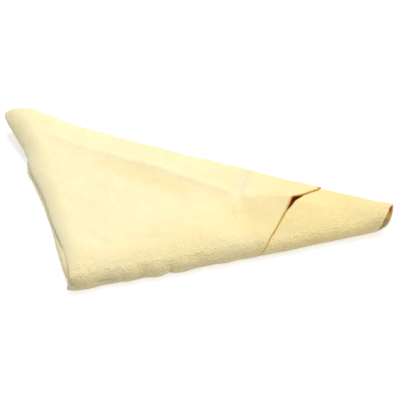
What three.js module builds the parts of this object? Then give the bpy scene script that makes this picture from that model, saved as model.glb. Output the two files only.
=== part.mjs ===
// Chamois leather: one skin folded along the near line and rolled into a flattened two-turn cone.
// It lies on a table, wide end towards -X and open mouth towards +X. The outer turn is a flap that
// opens about the near fold. Underneath it the inner cone runs on to the mouth.
import * as THREE from 'three';

// Driving dimensions, in millimetres and degrees
const LEATHER_THICKNESS = 1.2;
const PLY_GAP = 0.35; // air between plies that lie on each other
const SEAM_GAP = 0.3; // parting between neighbouring bodies of the skin
const ROLL_HEIGHT = 20; // table to the top of the flap beside a fold
const CONE_ANGLE = 38.1; // between the far and the near fold line, from above

// Lengths along the fold lines, from the point where the two lines meet beyond the mouth
const FLAP_WIDE_FAR = 396;
const FLAP_WIDE_NEAR = 307;
const UNDER_WIDE = 350; // longest reach of the underside, where its corner is rounded off
const LIP_WIDE = 378;
const RAW_EDGE_LIP = 72;
const RAW_EDGE_FAR = 78;
const RAW_EDGE_RIDGE = 97;
const RAW_EDGE_NEAR = 122;
const RAW_EDGE_UNDER = 138;
const MOUTH_FRONT_FAR = 11;
const MOUTH_FRONT_NEAR = 26;
const MOUTH_UNDER_NEAR = 25;
const MOUTH_UNDER_END = 12;
const MOUTH_BACK = 7;

// Shape of the wide end: a slightly hollow edge whose margin rolls inward
const WIDE_END_HOLLOW = 8;
const UNDER_CORNER = 5; // softness of the underside's corner
const FLAP_MARGIN = 18;
const FOLD_MARGIN = 11;
const FLAP_CURL = 90;
const FOLD_CURL = 45;
const UNDER_CURL = 55;
const CONE_SETBACK = 10; // inner plies, back from the start of the rolled margin
const CORNER_LIFT = 5; // far corner of the flap, off the roll
const CORNER_LIFT_START = 255;
const CORNER_LIFT_FULL = 350;
const CORNER_LIFT_WIDTH = 110;

// Relief of the flap and free ends of the roll
const RIDGE_FROM_FAR = 25;
const RIDGE_LIFT = 6;
const RIDGE_FADE = 24;
const SAG_DEPTH = 3;
const SAG_START = 110;
const SAG_FULL = 300;
const LIP_END = 0; // where the lip stops on the far side, above the horizontal
const CONE_END_ANGLE = 10; // left open between the innermost ply and the far fold line

const { degToRad, lerp, smoothstep } = THREE.MathUtils;
const halfAngle = degToRad(CONE_ANGLE / 2);
const quarterTurn = Math.PI / 2;
const nominalLength = (FLAP_WIDE_FAR + FLAP_WIDE_NEAR) / 2;

// Heights of the plies' middle surfaces, from the table up
const plyStep = LEATHER_THICKNESS + PLY_GAP;
const underZ = LEATHER_THICKNESS / 2;
const coneUnderZ = underZ + plyStep;
const flapZ = ROLL_HEIGHT - LEATHER_THICKNESS / 2;
const coneFrontZ = flapZ - plyStep;

const planPoint = (s, angle, z) => new THREE.Vector3(-s * Math.cos(angle), s * Math.sin(angle), z);

const widthAt = (s) => 2 * halfAngle * s;

// Length at one angle of a straight edge that joins two points of the wedge
function straightEdge(from, fromAngle, to, toAngle, angle) {
  const a = Math.sin(toAngle - angle) / from;
  const b = Math.sin(angle - fromAngle) / to;
  return Math.sin(toAngle - fromAngle) / (a + b);
}

// Wide end of the flap, by the share of the way from the far line to the near line
function wideEdge(share) {
  const angle = halfAngle * (1 - 2 * share);
  const straight = straightEdge(FLAP_WIDE_FAR, halfAngle, FLAP_WIDE_NEAR, -halfAngle, angle);
  return straight - WIDE_END_HOLLOW * 4 * share * (1 - share);
}

// Wide end of the underside: the same edge with its far corner rounded off
function underWideEdge(share) {
  const excess = Math.exp((wideEdge(share) - UNDER_WIDE) / UNDER_CORNER);
  return wideEdge(share) - UNDER_CORNER * Math.log(1 + excess);
}

const marginAt = (share) => lerp(FLAP_MARGIN, FOLD_MARGIN, share);

const coneFrontEdge = (share) => wideEdge(share) - marginAt(share) - CONE_SETBACK;

const coneUnderEdge = (share) => underWideEdge(share) - FOLD_MARGIN - CONE_SETBACK;

// How far the flap's far corner stands off the roll
function cornerLift(s, distance) {
  const across = 1 - smoothstep(distance, 0, CORNER_LIFT_WIDTH);
  return CORNER_LIFT * smoothstep(s, CORNER_LIFT_START, CORNER_LIFT_FULL) * across;
}

// Hollow of the front plies between the two folds
function sagAt(s, distance) {
  const across = 2 * distance / widthAt(s) - 1;
  const window = Math.max(0, 1 - across * across);
  return SAG_DEPTH * window * window * smoothstep(s, SAG_START, SAG_FULL);
}

// Soft crease of the flap: it climbs from the far fold to a crest and fades towards the near fold
function ridgeAt(s, distance) {
  const taper = 1 - 0.6 * smoothstep(s, RAW_EDGE_NEAR, FLAP_WIDE_NEAR);
  if (distance <= RIDGE_FROM_FAR) {
    const climb = Math.max(0, distance) / RIDGE_FROM_FAR;
    return RIDGE_LIFT * taper * climb * climb * (2 - climb);
  }
  const past = distance - RIDGE_FROM_FAR;
  const room = Math.max(0, 1 - past / (widthAt(s) - RIDGE_FROM_FAR));
  return RIDGE_LIFT * taper * Math.exp(-past / RIDGE_FADE) * room;
}

// A flat ply between the fold lines: u runs from the far line to its other side
function panel({ z, up, spread, relief = () => 0, ...edges }) {
  const inward = new THREE.Vector3(0, 0, up);
  const at = (u, s) => {
    const distance = spread(u, s);
    return planPoint(s, halfAngle - distance / s, z + relief(s, distance));
  };
  return { at, inward: () => inward, ...edges };
}

// A fold round one of the lines: side 1 is far and -1 is near, u runs from its upper to its lower end
function fold({ side, upperZ, lowerZ, grow = 0, end = -90, open = false, lift = () => 0, ...edges }) {
  const radius = (upperZ - lowerZ) / 2 + grow;
  const centreZ = (upperZ + lowerZ) / 2;
  const trim = SEAM_GAP / 2 / radius;
  const last = open ? degToRad(end) : degToRad(end) + trim;
  const turnAt = (u) => lerp(quarterTurn - trim, last, u);
  const outward = (turn) => new THREE.Vector3(
    Math.cos(turn) * Math.sin(halfAngle),
    Math.cos(turn) * side * Math.cos(halfAngle),
    Math.sin(turn),
  );
  const at = (u, s) =>
    planPoint(s, side * halfAngle, centreZ + lift(s)).addScaledVector(outward(turnAt(u)), radius);
  return { at, inward: (u) => outward(turnAt(u)).negate(), ...edges };
}

// The rolled margin at the wide end of a patch: where it starts, its directions and how far it bends
function margin(patch, u) {
  const length = patch.margin(u);
  const start = patch.left(u) - length;
  const root = patch.at(u, start);
  const along = patch.at(u, start + 1).sub(root).normalize();
  const bend = Math.max(degToRad(patch.curl(u)), 0.02);
  return { start, root, along, inward: patch.inward(u), bend, radius: length / bend };
}

// Point of a patch's middle surface: v runs 0 to 1 along the skin and 1 to 2 round the rolled margin
function middle(patch, u, v) {
  if (!patch.curl) return patch.at(u, lerp(patch.right(u), patch.left(u), v));
  const { start, root, along, inward, bend, radius } = margin(patch, u);
  if (v <= 1) return patch.at(u, lerp(patch.right(u), start, v));
  const turn = bend * (v - 1);
  return root
    .addScaledVector(along, radius * Math.sin(turn))
    .addScaledVector(inward, radius * (1 - Math.cos(turn)));
}

// Direction of the thickness. In the margin it turns with the roll, so neighbours stay parallel.
function normalAt(patch, u, v) {
  const step = 1e-3;
  const across = middle(patch, u + step, v).sub(middle(patch, u - step, v));
  const along = middle(patch, u, v + step).sub(middle(patch, u, v - step));
  const measured = across.cross(along).normalize();
  if (!patch.curl || v <= 1) return measured;
  const roll = margin(patch, u);
  const turn = roll.bend * (v - 1);
  const turned = roll.along.multiplyScalar(Math.sin(turn)).addScaledVector(roll.inward, -Math.cos(turn));
  return turned.multiplyScalar(Math.sign(turned.dot(measured))).normalize();
}

const steps = (count, from = 0, to = 1) =>
  Array.from({ length: count + 1 }, (_, i) => lerp(from, to, i / count));

// Closed solid of a patch: both faces of the leather and the cut edge all round
function skin(patch, us, vs) {
  const positions = [];
  for (const face of [1, -1]) {
    for (const u of us) {
      for (const v of vs) {
        const offset = normalAt(patch, u, v).multiplyScalar(face * LEATHER_THICKNESS / 2);
        positions.push(...middle(patch, u, v).add(offset).toArray());
      }
    }
  }
  const rows = vs.length;
  const under = us.length * rows;
  const indices = [];
  const quad = (a, b, c, d) => indices.push(a, b, c, a, c, d);
  for (let i = 0; i + 1 < us.length; i += 1) {
    for (let j = 0; j + 1 < rows; j += 1) {
      const a = i * rows + j;
      quad(a, a + rows, a + rows + 1, a + 1);
      quad(under + a, under + a + 1, under + a + rows + 1, under + a + rows);
    }
  }
  const rim = [
    ...us.map((_, i) => i * rows),
    ...vs.slice(1).map((_, j) => (us.length - 1) * rows + j + 1),
    ...us.slice(1).map((_, i) => (us.length - 2 - i) * rows + rows - 1),
    ...vs.slice(1, -1).map((_, j) => rows - 2 - j),
  ];
  rim.forEach((a, i) => {
    const b = rim[(i + 1) % rim.length];
    quad(a, under + a, under + b, b);
  });
  const geometry = new THREE.BufferGeometry();
  geometry.setAttribute('position', new THREE.Float32BufferAttribute(positions, 3));
  geometry.setIndex(indices);
  return geometry;
}

// Turns a geometry right side out when its faces look inward
function faceOutward(geometry) {
  const point = geometry.attributes.position;
  const index = geometry.index.array;
  const corners = [new THREE.Vector3(), new THREE.Vector3(), new THREE.Vector3()];
  let volume = 0;
  for (let i = 0; i < index.length; i += 3) {
    corners.forEach((corner, k) => corner.fromBufferAttribute(point, index[i + k]));
    volume += corners[0].dot(corners[1].clone().cross(corners[2]));
  }
  if (volume < 0) geometry.setIndex(Array.from(index).reverse());
  geometry.computeVertexNormals();
  return geometry;
}

// Even spread over the whole wedge, clear of the neighbouring folds
const evenSpread = (u, s) => lerp(SEAM_GAP / 2, widthAt(s) - SEAM_GAP / 2, u);

// Spread with a fixed column on the flap's crest
const crestShare = 0.36;
const crestSpread = (u, s) => (u <= crestShare
  ? lerp(SEAM_GAP / 2, RIDGE_FROM_FAR, u / crestShare)
  : lerp(RIDGE_FROM_FAR, widthAt(s) - SEAM_GAP / 2, (u - crestShare) / (1 - crestShare)));

const flapShare = (u) => crestSpread(u, nominalLength) / widthAt(nominalLength);

// Raw edge of the flap: straight to the crest and straight again to the near fold
const crestAngle = halfAngle - RIDGE_FROM_FAR / RAW_EDGE_RIDGE;
const flapRight = (u) => (u <= crestShare
  ? lerp(RAW_EDGE_FAR, RAW_EDGE_RIDGE, u / crestShare)
  : straightEdge(
    RAW_EDGE_RIDGE,
    crestAngle,
    RAW_EDGE_NEAR,
    -halfAngle,
    lerp(crestAngle, -halfAngle, (u - crestShare) / (1 - crestShare)),
  ));

const flapPanel = panel({
  z: flapZ,
  up: -1,
  spread: crestSpread,
  relief: (s, distance) => ridgeAt(s, distance) - sagAt(s, distance) + cornerLift(s, distance),
  right: flapRight,
  left: (u) => wideEdge(flapShare(u)),
  margin: (u) => marginAt(flapShare(u)),
  curl: (u) => lerp(FLAP_CURL, FOLD_CURL, flapShare(u)),
});

const flapLip = fold({
  side: 1,
  upperZ: coneFrontZ,
  lowerZ: underZ,
  grow: plyStep,
  end: LIP_END,
  open: true,
  lift: (s) => cornerLift(s, 0),
  right: (u) => lerp(RAW_EDGE_FAR, RAW_EDGE_LIP, u),
  left: (u) => lerp(FLAP_WIDE_FAR, LIP_WIDE, u),
  margin: () => FLAP_MARGIN,
  curl: () => FLAP_CURL,
});

const hingeFold = fold({
  side: -1,
  upperZ: flapZ,
  lowerZ: underZ,
  right: (u) => lerp(RAW_EDGE_NEAR, RAW_EDGE_UNDER, u),
  left: () => FLAP_WIDE_NEAR,
  margin: () => FOLD_MARGIN,
  curl: () => FOLD_CURL,
});

const underPanel = panel({
  z: underZ,
  up: 1,
  spread: evenSpread,
  right: (u) => lerp(MOUTH_BACK, RAW_EDGE_UNDER, u),
  left: underWideEdge,
  margin: () => FOLD_MARGIN,
  curl: (u) => lerp(UNDER_CURL, FOLD_CURL, u),
});

const farFold = fold({
  side: 1,
  upperZ: coneFrontZ,
  lowerZ: underZ,
  right: (u) => lerp(MOUTH_FRONT_FAR, MOUTH_BACK, u),
  left: (u) => lerp(coneFrontEdge(0), underWideEdge(0), u),
  margin: () => FOLD_MARGIN,
  curl: (u) => UNDER_CURL * smoothstep(u, 0.5, 1),
});

const coneFront = panel({
  z: coneFrontZ,
  up: -1,
  spread: evenSpread,
  relief: (s, distance) => -sagAt(s, distance),
  right: (u) => lerp(MOUTH_FRONT_FAR, MOUTH_FRONT_NEAR, u),
  left: coneFrontEdge,
});

const coneNearFold = fold({
  side: -1,
  upperZ: coneFrontZ,
  lowerZ: coneUnderZ,
  right: (u) => lerp(MOUTH_FRONT_NEAR, MOUTH_UNDER_NEAR, u),
  left: () => coneFrontEdge(1),
});

const coneEndShare = CONE_END_ANGLE / CONE_ANGLE;
const coneUnder = panel({
  z: coneUnderZ,
  up: 1,
  spread: (u, s) => lerp(coneEndShare * widthAt(s), widthAt(s) - SEAM_GAP / 2, u),
  right: (u) => lerp(MOUTH_UNDER_END, MOUTH_UNDER_NEAR, u),
  left: (u) => coneUnderEdge(lerp(coneEndShare, 1, u)),
});

const leather = new THREE.MeshStandardMaterial({ color: 0xf6e8bd, roughness: 0.95, metalness: 0 });
leather.name = 'chamois';

const crestSteps = [...steps(6, 0, crestShare), ...steps(12, crestShare, 1).slice(1)];
const withMargin = (count) => [...steps(count), ...steps(5, 1, 2).slice(1)];
const pieces = [
  ['flap_panel', flapPanel, crestSteps, withMargin(14)],
  ['flap_lip', flapLip, steps(6), withMargin(10)],
  ['hinge_fold', hingeFold, steps(12), withMargin(10)],
  ['under_panel', underPanel, steps(10), withMargin(8)],
  ['far_fold', farFold, steps(12), withMargin(12)],
  ['cone_front', coneFront, steps(12), steps(14)],
  ['cone_near_fold', coneNearFold, steps(10), steps(8)],
  ['cone_under', coneUnder, steps(4), steps(8)],
];

const leatherRoll = new THREE.Group();
leatherRoll.name = 'chamois_leather';
for (const [name, patch, us, vs] of pieces) {
  const mesh = new THREE.Mesh(faceOutward(skin(patch, us, vs)), leather);
  mesh.name = name;
  leatherRoll.add(mesh);
}

// The part's origin is under the middle of its bounding box, on the table
const box = new THREE.Box3().setFromObject(leatherRoll);
const middleOfBox = box.getCenter(new THREE.Vector3());
for (const mesh of leatherRoll.children) {
  mesh.geometry.translate(-middleOfBox.x, -middleOfBox.y, -box.min.z);
}

export default leatherRoll;
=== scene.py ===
# %% [markdown]
# # A chamois leather, rolled into a flattened cone
# The object is one skin of soft oil-tanned leather. It is folded along a line on the near side and
# rolled on inside, so that an outer flap lies over an inner cone with an open mouth. This lesson loads
# the solid model as a fixed frame and lays two sheets of napped leather over it.

# %% Load the frame
import math
from collections import namedtuple

import bpy
import numpy as np
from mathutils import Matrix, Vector


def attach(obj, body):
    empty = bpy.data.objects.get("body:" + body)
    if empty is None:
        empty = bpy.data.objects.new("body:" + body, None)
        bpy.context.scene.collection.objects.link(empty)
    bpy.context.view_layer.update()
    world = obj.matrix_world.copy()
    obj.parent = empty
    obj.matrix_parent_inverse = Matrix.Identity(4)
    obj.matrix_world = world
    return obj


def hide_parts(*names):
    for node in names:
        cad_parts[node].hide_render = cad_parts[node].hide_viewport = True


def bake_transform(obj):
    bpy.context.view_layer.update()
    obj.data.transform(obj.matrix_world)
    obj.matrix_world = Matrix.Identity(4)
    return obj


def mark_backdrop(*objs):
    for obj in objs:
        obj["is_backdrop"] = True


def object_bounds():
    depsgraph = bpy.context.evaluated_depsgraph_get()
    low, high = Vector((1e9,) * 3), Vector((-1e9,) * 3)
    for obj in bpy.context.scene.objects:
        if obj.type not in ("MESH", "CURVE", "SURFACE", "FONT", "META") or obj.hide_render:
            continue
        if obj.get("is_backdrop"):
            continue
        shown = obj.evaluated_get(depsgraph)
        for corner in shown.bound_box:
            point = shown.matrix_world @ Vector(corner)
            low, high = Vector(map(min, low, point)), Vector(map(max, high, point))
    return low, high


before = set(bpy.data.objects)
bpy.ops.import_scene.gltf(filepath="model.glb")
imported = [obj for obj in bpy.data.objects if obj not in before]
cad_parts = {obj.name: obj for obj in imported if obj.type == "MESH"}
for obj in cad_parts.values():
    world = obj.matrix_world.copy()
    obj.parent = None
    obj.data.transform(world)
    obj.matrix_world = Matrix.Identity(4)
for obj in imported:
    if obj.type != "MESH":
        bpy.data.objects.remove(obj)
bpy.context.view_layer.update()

# %% [markdown]
# ## The fold lines
# Seen from above, the roll is a wedge between a far and a near fold line, which would meet a little beyond
# the mouth, at the tip. From there a point of the skin is easy to name: its distance `s` from the tip along
# the leather, and an angle across a flat ply or a turn round a fold.

# %% Sizes of the roll
MM = 0.001
TIP = np.array([186.98, -11.09]) * MM
HALF = math.radians(19.05)
LEATHER = 1.2 * MM
# Heights of the middle of the leather, from the flap on top down to the underside.
FLAP_Z, CONE_Z = 19.4 * MM, 17.85 * MM
INNER_Z, UNDER_Z = 2.15 * MM, 0.6 * MM
NEAR, FAR = -1, 1


def ray(angle):
    """Unit vector from the tip at an angle from the roll's axis."""
    return np.stack([-np.cos(angle), np.sin(angle)], -1)


def sideways(angle):
    """Unit vector across a ray, on the side of growing angles."""
    return np.stack([np.sin(angle), np.cos(angle)], -1)


def smooth(x, low, high):
    """0 below low, 1 above high and a soft step between them."""
    t = np.clip((x - low) / (high - low), 0, 1)
    return t * t * (3 - 2 * t)


def step(x, low, high):
    """The same between places in mm."""
    return smooth(x, low * MM, high * MM)


def mm(length):
    """One or more lengths in mm, for printing."""
    return np.round(np.asarray(length) / MM, 2).tolist()


print("plies at", mm([UNDER_Z, INNER_Z, CONE_Z, FLAP_Z]), "mm")

# %% [markdown]
# ## Flat plies
# The skin is a row of strips: flat plies, and round folds between them. Each strip can place a point in
# space and in the flat skin. The flat place drives the unevenness and becomes the UV map, so grain and nap
# run unbroken round every fold.


# %% A flat ply
class Ply:
    """Turns about the tip from one fold line to the other. up is 1 where its outer face looks up."""

    def __init__(self, z, up, first, last):
        self.z, self.up, self.first, self.last = z, up, first, last
        self.turn = abs(last - first)

    def unroll(self, apex, heading):
        """Starts the strip here in the flat skin and tells where the next one starts."""
        self.apex, self.heading = apex, heading
        return apex, heading + self.turn

    def flat(self, u, s):
        return self.apex + s[..., None] * ray(self.heading + self.turn * u)

    def angle(self, u):
        return self.first + (self.last - self.first) * u

    def place(self, u, s, lift):
        return np.dstack([TIP + s[..., None] * ray(self.angle(u)), self.z + self.up * lift])

    def inward(self, u):
        return np.dstack([0 * u, 0 * u, 0 * u - self.up])


print("the flap ends at angle", round(math.degrees(Ply(FLAP_Z, 1, -HALF, HALF).angle(1)), 2))

# %% [markdown]
# ## Round folds
# Soft leather turns over in a half round as high as the layers inside it. A fold answers the same questions
# as a ply, so a sheet can mix the two kinds. In the flat skin it is a parallel band.


# %% A round fold
class Fold(Ply):
    """Turns round a fold line, from one ply's height to another's. Angles are above the horizontal."""

    def __init__(self, side, low_z, top_z, first, last, grow=0.0):
        self.side, self.middle = side, (top_z + low_z) / 2
        self.radius = (top_z - low_z) / 2 + grow
        self.first, self.last = math.radians(first), math.radians(last)
        self.width = self.radius * abs(self.last - self.first)

    def unroll(self, apex, heading):
        self.apex, self.heading = apex, heading
        return apex + self.width * sideways(heading), heading

    def flat(self, u, s):
        across = (self.width * u)[..., None] * sideways(self.heading)
        return self.apex + s[..., None] * ray(self.heading) + across

    def outward(self, u):
        level, up = np.cos(self.angle(u)), np.sin(self.angle(u))
        return np.dstack([level * math.sin(HALF), level * self.side * math.cos(HALF), up])

    def place(self, u, s, lift):
        root = np.dstack([TIP + s[..., None] * ray(self.side * HALF), 0 * s + self.middle])
        return root + (self.radius + lift)[..., None] * self.outward(u)

    def inward(self, u):
        return -self.outward(u)


print("radius of the near fold:", mm(Fold(NEAR, UNDER_Z, FLAP_Z, -90, 90).radius), "mm")

# %% [markdown]
# ## Laying out a sheet
# A sheet lays its strips side by side. Columns run across the roll and rows from the mouth to the wide end.
# The last rows follow an arc, because the margin of a limp skin rolls inward by its own weight.

# %% Lay strips side by side
Strip = namedtuple("Strip", "shape columns relief mouth wide margin curl")
TINY = 1e-12
STEP_BACK = 1 * MM
LEAST_BEND = 0.02


def unit(vectors):
    return vectors / np.maximum(np.linalg.norm(vectors, axis=-1, keepdims=True), TINY)


def lay_out(strips, rows):
    """Middle surface of the leather, its flat skin and its distance from the tip, as three grids."""
    spaces, flats, reaches = [], [], []
    apex, heading = np.zeros(2), -HALF
    for strip in strips:
        shape = strip.shape
        apex, heading = shape.unroll(apex, heading)
        u, v = np.meshgrid(strip.columns, rows, indexing="ij")
        length, bend = strip.margin(u), np.maximum(strip.curl(u), LEAST_BEND)
        start = strip.wide(u) - length
        s = strip.mouth(u) + (start - strip.mouth(u)) * np.minimum(v, 1)
        over = np.maximum(v - 1, 0)
        body, before = [shape.place(u, x, strip.relief(u, x, shape.flat(u, x))) for x in (s, s - STEP_BACK)]
        radius, turn = length / bend, bend * over
        rolled = unit(body - before) * (radius * np.sin(turn))[..., None]
        rolled = rolled + shape.inward(u) * (radius * (1 - np.cos(turn)))[..., None]
        first = 1 if spaces else 0
        spaces.append((body + rolled)[first:])
        flats.append(shape.flat(u, s + length * over)[first:])
        reaches.append((s + length * over)[first:])
    return np.concatenate(spaces), np.concatenate(flats), np.concatenate(reaches)


print("unit vector along (3, 4):", unit(np.array([3.0, 4.0])))

# %% [markdown]
# ## The rim
# A sheet without thickness looks like paper. Both faces are offset from the middle surface, and a rounded
# rim of four narrow faces closes the cut edge.

# %% Walk round the border
RIM_ANGLES = (0.8, 0.0, -0.8)
RIM_BULGE = 0.95


def rim_loop(n, m):
    """Both indices of the grid places once round the border."""
    places = [(i, 0) for i in range(n)] + [(n - 1, j) for j in range(1, m)]
    places += [(i, m - 1) for i in range(n - 2, -1, -1)] + [(0, j) for j in range(m - 2, 0, -1)]
    return tuple(np.array(places).T)


def border_outward(grid):
    """Direction out of the sheet at each border point, within its surface."""
    across, along = np.gradient(grid, axis=0), np.gradient(grid, axis=1)
    out = np.zeros_like(grid)
    out[:, 0] -= unit(along[:, 0])
    out[:, -1] += unit(along[:, -1])
    out[0] -= unit(across[0])
    out[-1] += unit(across[-1])
    return unit(out)


print("border of a grid of 3 by 3:", rim_loop(3, 3))

# %% [markdown]
# ## Giving it thickness
# The mesh is written in one go from arrays. The rim gets a material of its own, since a cut through leather
# shows its golden core. On the flap it is darker still, as painted shade of the crevice under the raw edge.
# Named marks are stored on the points for the materials to read.

# %% Close a sheet
EDGE_SLOT = 2


def skin_points(grid, loop):
    """Points of the first side, the other side and the rim's rings."""
    half = unit(np.cross(np.gradient(grid, axis=0), np.gradient(grid, axis=1))) * LEATHER / 2
    out = border_outward(grid)[loop] * LEATHER * RIM_BULGE
    rims = [grid[loop] + half[loop] * math.sin(a) + out * math.cos(a) for a in RIM_ANGLES]
    return np.concatenate([(grid + half).reshape(-1, 3), (grid - half).reshape(-1, 3), *rims])


def skin_faces(n, m, loop):
    """The same for the faces, as three arrays of point numbers."""
    index = np.arange(n * m).reshape(n, m)
    a, b, c, d = index[:-1, :-1], index[1:, :-1], index[1:, 1:], index[:-1, 1:]
    over = np.stack([a, b, c, d], -1).reshape(-1, 4)
    border = index[loop]
    count = len(border)
    rings = [2 * n * m + k * count + np.arange(count) for k in range(len(RIM_ANGLES))]
    rings = [border, *rings, n * m + border]
    sides = [np.stack([np.roll(p, -1), p, q, np.roll(q, -1)], -1) for p, q in zip(rings, rings[1:])]
    return over, n * m + over[:, ::-1], np.concatenate(sides)


def to_points(values, loop):
    """Values of a grid, repeated for the points of both faces and of the rim."""
    listed = values.reshape(-1, *values.shape[2:])
    return np.concatenate([listed] * 2 + [values[loop]] * len(RIM_ANGLES))


def put(name, data):
    obj = bpy.data.objects.new(name, data)
    bpy.context.collection.objects.link(obj)
    return obj


def thick_skin(name, grid, flat, marks, materials, slant=0):
    """A closed sheet. The materials are for the face along the normals, the other face and the edge.

    The edge material reaches slant rows into the first face; the wider cut line is partly painted shade.
    """
    n, m = grid.shape[:2]
    loop = rim_loop(n, m)
    points, sets = skin_points(grid, loop), skin_faces(n, m, loop)
    faces = np.concatenate(sets)
    mesh = bpy.data.meshes.new(name)
    mesh.from_pydata(points.tolist(), [], faces.tolist())
    uv = to_points(flat, loop)[faces.reshape(-1)].astype(np.float32)
    mesh.uv_layers.new(name="skin").data.foreach_set("uv", uv.reshape(-1))
    for material in materials:
        mesh.materials.append(material)
    which = np.repeat(np.arange(len(sets)), [len(some) for some in sets])
    which[:len(sets[0])].reshape(n - 1, m - 1)[:, :slant] = EDGE_SLOT
    for title, mark in marks.items():
        values = to_points(mark, loop).astype(np.float32)
        mesh.attributes.new(title, "FLOAT", "POINT").data.foreach_set("value", values)
    mesh.polygons.foreach_set("material_index", which.astype(np.int32))
    mesh.polygons.foreach_set("use_smooth", np.ones(len(faces), bool))
    mesh.update()
    print(name, len(points), "points,", len(faces), "faces")
    return put(name, mesh)


print("faces of a sheet of 3 by 3:", [len(some) for some in skin_faces(3, 3, rim_loop(3, 3))])

# %% [markdown]
# ## Unevenness of leather
# A skin keeps soft hollows, lumps and short creases from handling. A sum of sine waves in random directions
# makes the hollows, and the rest is placed one by one. All of it moves the mesh.

# %% Hollows, creases and lumps
WAVES, LONGEST_WAVE, LAST_PHASE = 16, 2.4, 7
LIP_AWAY = 1.8


def hollows(flat, size, seed):
    """A smooth random field over the flat skin, mostly between -1 and 1."""
    rng = np.random.default_rng(seed)
    field = np.zeros(flat.shape[:-1])
    for _ in range(WAVES):
        heading = rng.uniform(0, 2 * math.pi)
        wave = 2 * math.pi / (size * rng.uniform(1.0, LONGEST_WAVE))
        across = flat @ np.array([math.cos(heading), math.sin(heading)])
        field += np.sin(across * wave + rng.uniform(0, LAST_PHASE))
    return field / math.sqrt(WAVES)


def from_line(xy, start, end):
    """Share of the way along a line between two points in mm, and the distance to its left in mm."""
    a, b = np.array(start) * MM, np.array(end) * MM
    length = np.linalg.norm(b - a)
    axis = (b - a) / length
    return (xy - a) @ axis / length, (xy - a) @ np.array([-axis[1], axis[0]]) / MM


def crease(xy, start, end, width, depth, lean=0.0):
    """A short valley from start to end with raised lips, the left lip higher where lean is above 0."""
    along, left = from_line(xy, start, end)
    t = left / width
    reach = smooth(along, -0.3, 0.25) * (1 - smooth(along, 0.75, 1.3))
    lips = sum((1 + k * lean) * np.exp(-(t - k * LIP_AWAY) ** 2) for k in (1, -1)) / 2
    return depth * MM * (lips - np.exp(-t * t)) * reach


def wrinkle(xy, points, depths, width):
    """A soft valley along a bent line, with its depth at each point of the line."""
    points = np.array(points) * MM
    lengths = np.linalg.norm(np.diff(points, axis=0), axis=1)
    nearest, place = np.full(xy.shape[:-1], 1.0), np.zeros(xy.shape[:-1])
    for k, length in enumerate(lengths):
        axis = (points[k + 1] - points[k]) / length
        along = np.clip((xy - points[k]) @ axis, 0, length)
        away = np.linalg.norm(xy - points[k] - along[..., None] * axis, axis=-1)
        place = np.where(away < nearest, (lengths[:k].sum() + along) / lengths.sum(), place)
        nearest = np.minimum(nearest, away)
    places = np.concatenate([[0], np.cumsum(lengths)]) / lengths.sum()
    return -np.interp(place, places, depths) * MM * np.exp(-(nearest / (width * MM)) ** 2)


def lump(xy, centre, radius, height):
    away = np.linalg.norm(xy - np.array(centre) * MM, axis=-1) / (radius * MM)
    return height * MM * np.exp(-away ** 2)


print("a hollow:", hollows(np.zeros((1, 2)), 80 * MM, 3).round(2))

# %% [markdown]
# ## The nap
# Chamois is buffed until short fibres stand up on both faces, with pale clouds where they lie one way and
# deeper ones where they were brushed back. One shader group makes a cloud for the colour and a height for
# the bump.


# %% Nap group
def add_node(tree, kind, inputs=None, **settings):
    """A new node, given back as its outputs. An input gets a constant, or a link to another output."""
    made = tree.nodes.new(kind)
    for name, value in settings.items():
        setattr(made, name, value)
    for name, value in (inputs or {}).items():
        if isinstance(value, bpy.types.NodeSocket):
            tree.links.new(value, made.inputs[name])
        else:
            made.inputs[name].default_value = value
    return made.outputs


def combine(tree, operation, a, b):
    return add_node(tree, "ShaderNodeMath", {0: a, 1: b}, operation=operation)["Value"]


def stretch(tree, value, low, high, **settings):
    """0 at low and 1 at high."""
    limits = {"Value": value, "From Min": low, "From Max": high}
    return add_node(tree, "ShaderNodeMapRange", limits, **settings)["Result"]


nap = bpy.data.node_groups.new("nap of chamois", "ShaderNodeTree")
nap.interface.new_socket("Skin", in_out="INPUT", socket_type="NodeSocketVector")
for title, value in (("Clouds", 26.0), ("Tufts", 170.0), ("Grain", 520.0)):
    nap.interface.new_socket(title, in_out="INPUT", socket_type="NodeSocketFloat").default_value = value
for title in ("Cloud", "Height"):
    nap.interface.new_socket(title, in_out="OUTPUT", socket_type="NodeSocketFloat")
given = add_node(nap, "NodeGroupInput")
noises = {}
for title, detail, rough in (("Clouds", 3.0, 0.55), ("Tufts", 3.0, 0.6), ("Grain", 2.0, 0.6)):
    pattern = {"Vector": given["Skin"], "Scale": given[title], "Detail": detail, "Roughness": rough}
    noises[title] = add_node(nap, "ShaderNodeTexNoise", pattern, noise_dimensions="2D")["Fac"]
cloud = add_node(nap, "ShaderNodeMix", {"Factor": 0.45, "A": noises["Clouds"], "B": noises["Tufts"]})
height = add_node(nap, "ShaderNodeMix", {"Factor": 0.55, "A": noises["Tufts"], "B": noises["Grain"]})
clearer = stretch(nap, cloud["Result"], 0.36, 0.64)
add_node(nap, "NodeGroupOutput", {"Cloud": clearer, "Height": height["Result"]})
print("nap group:", len(nap.nodes), "nodes")

# %% [markdown]
# ## Marks on the skin
# Marks on the mesh tell a material where something changes. One tone runs from golden to pale on the outer
# faces and one on the inner faces. One mark sets how coarse the nap is, one shows grey fluff, and one lets
# light through. Some marks are painted light and shade. The outer tone also holds a painted highlight on
# the crest, painted shade in its flank, on a facet and along the near side, and painted light in a spot low
# on the right. The fluff mark also holds painted shade in a wrinkle and on the facet. The inner tone holds
# painted light low in the mouth, and one mark is painted shade high inside the mouth. One is painted dark
# red shade in the closed gap under the flap's kink, which Ambient Occlusion shows only while another ply is
# close.

# %% Marks and mixes
GAP = 25 * MM


def set_inputs(inputs, values):
    for title, value in values.items():
        inputs[title].default_value = value


def mark(tree, name):
    return add_node(tree, "ShaderNodeAttribute", attribute_name=name)["Fac"]


def mix(tree, share, a, b, blend="MIX"):
    inputs = {"Factor": share, "A": a, "B": b}
    return add_node(tree, "ShaderNodeMix", inputs, data_type="RGBA", blend_type=blend)["Result"]


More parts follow.
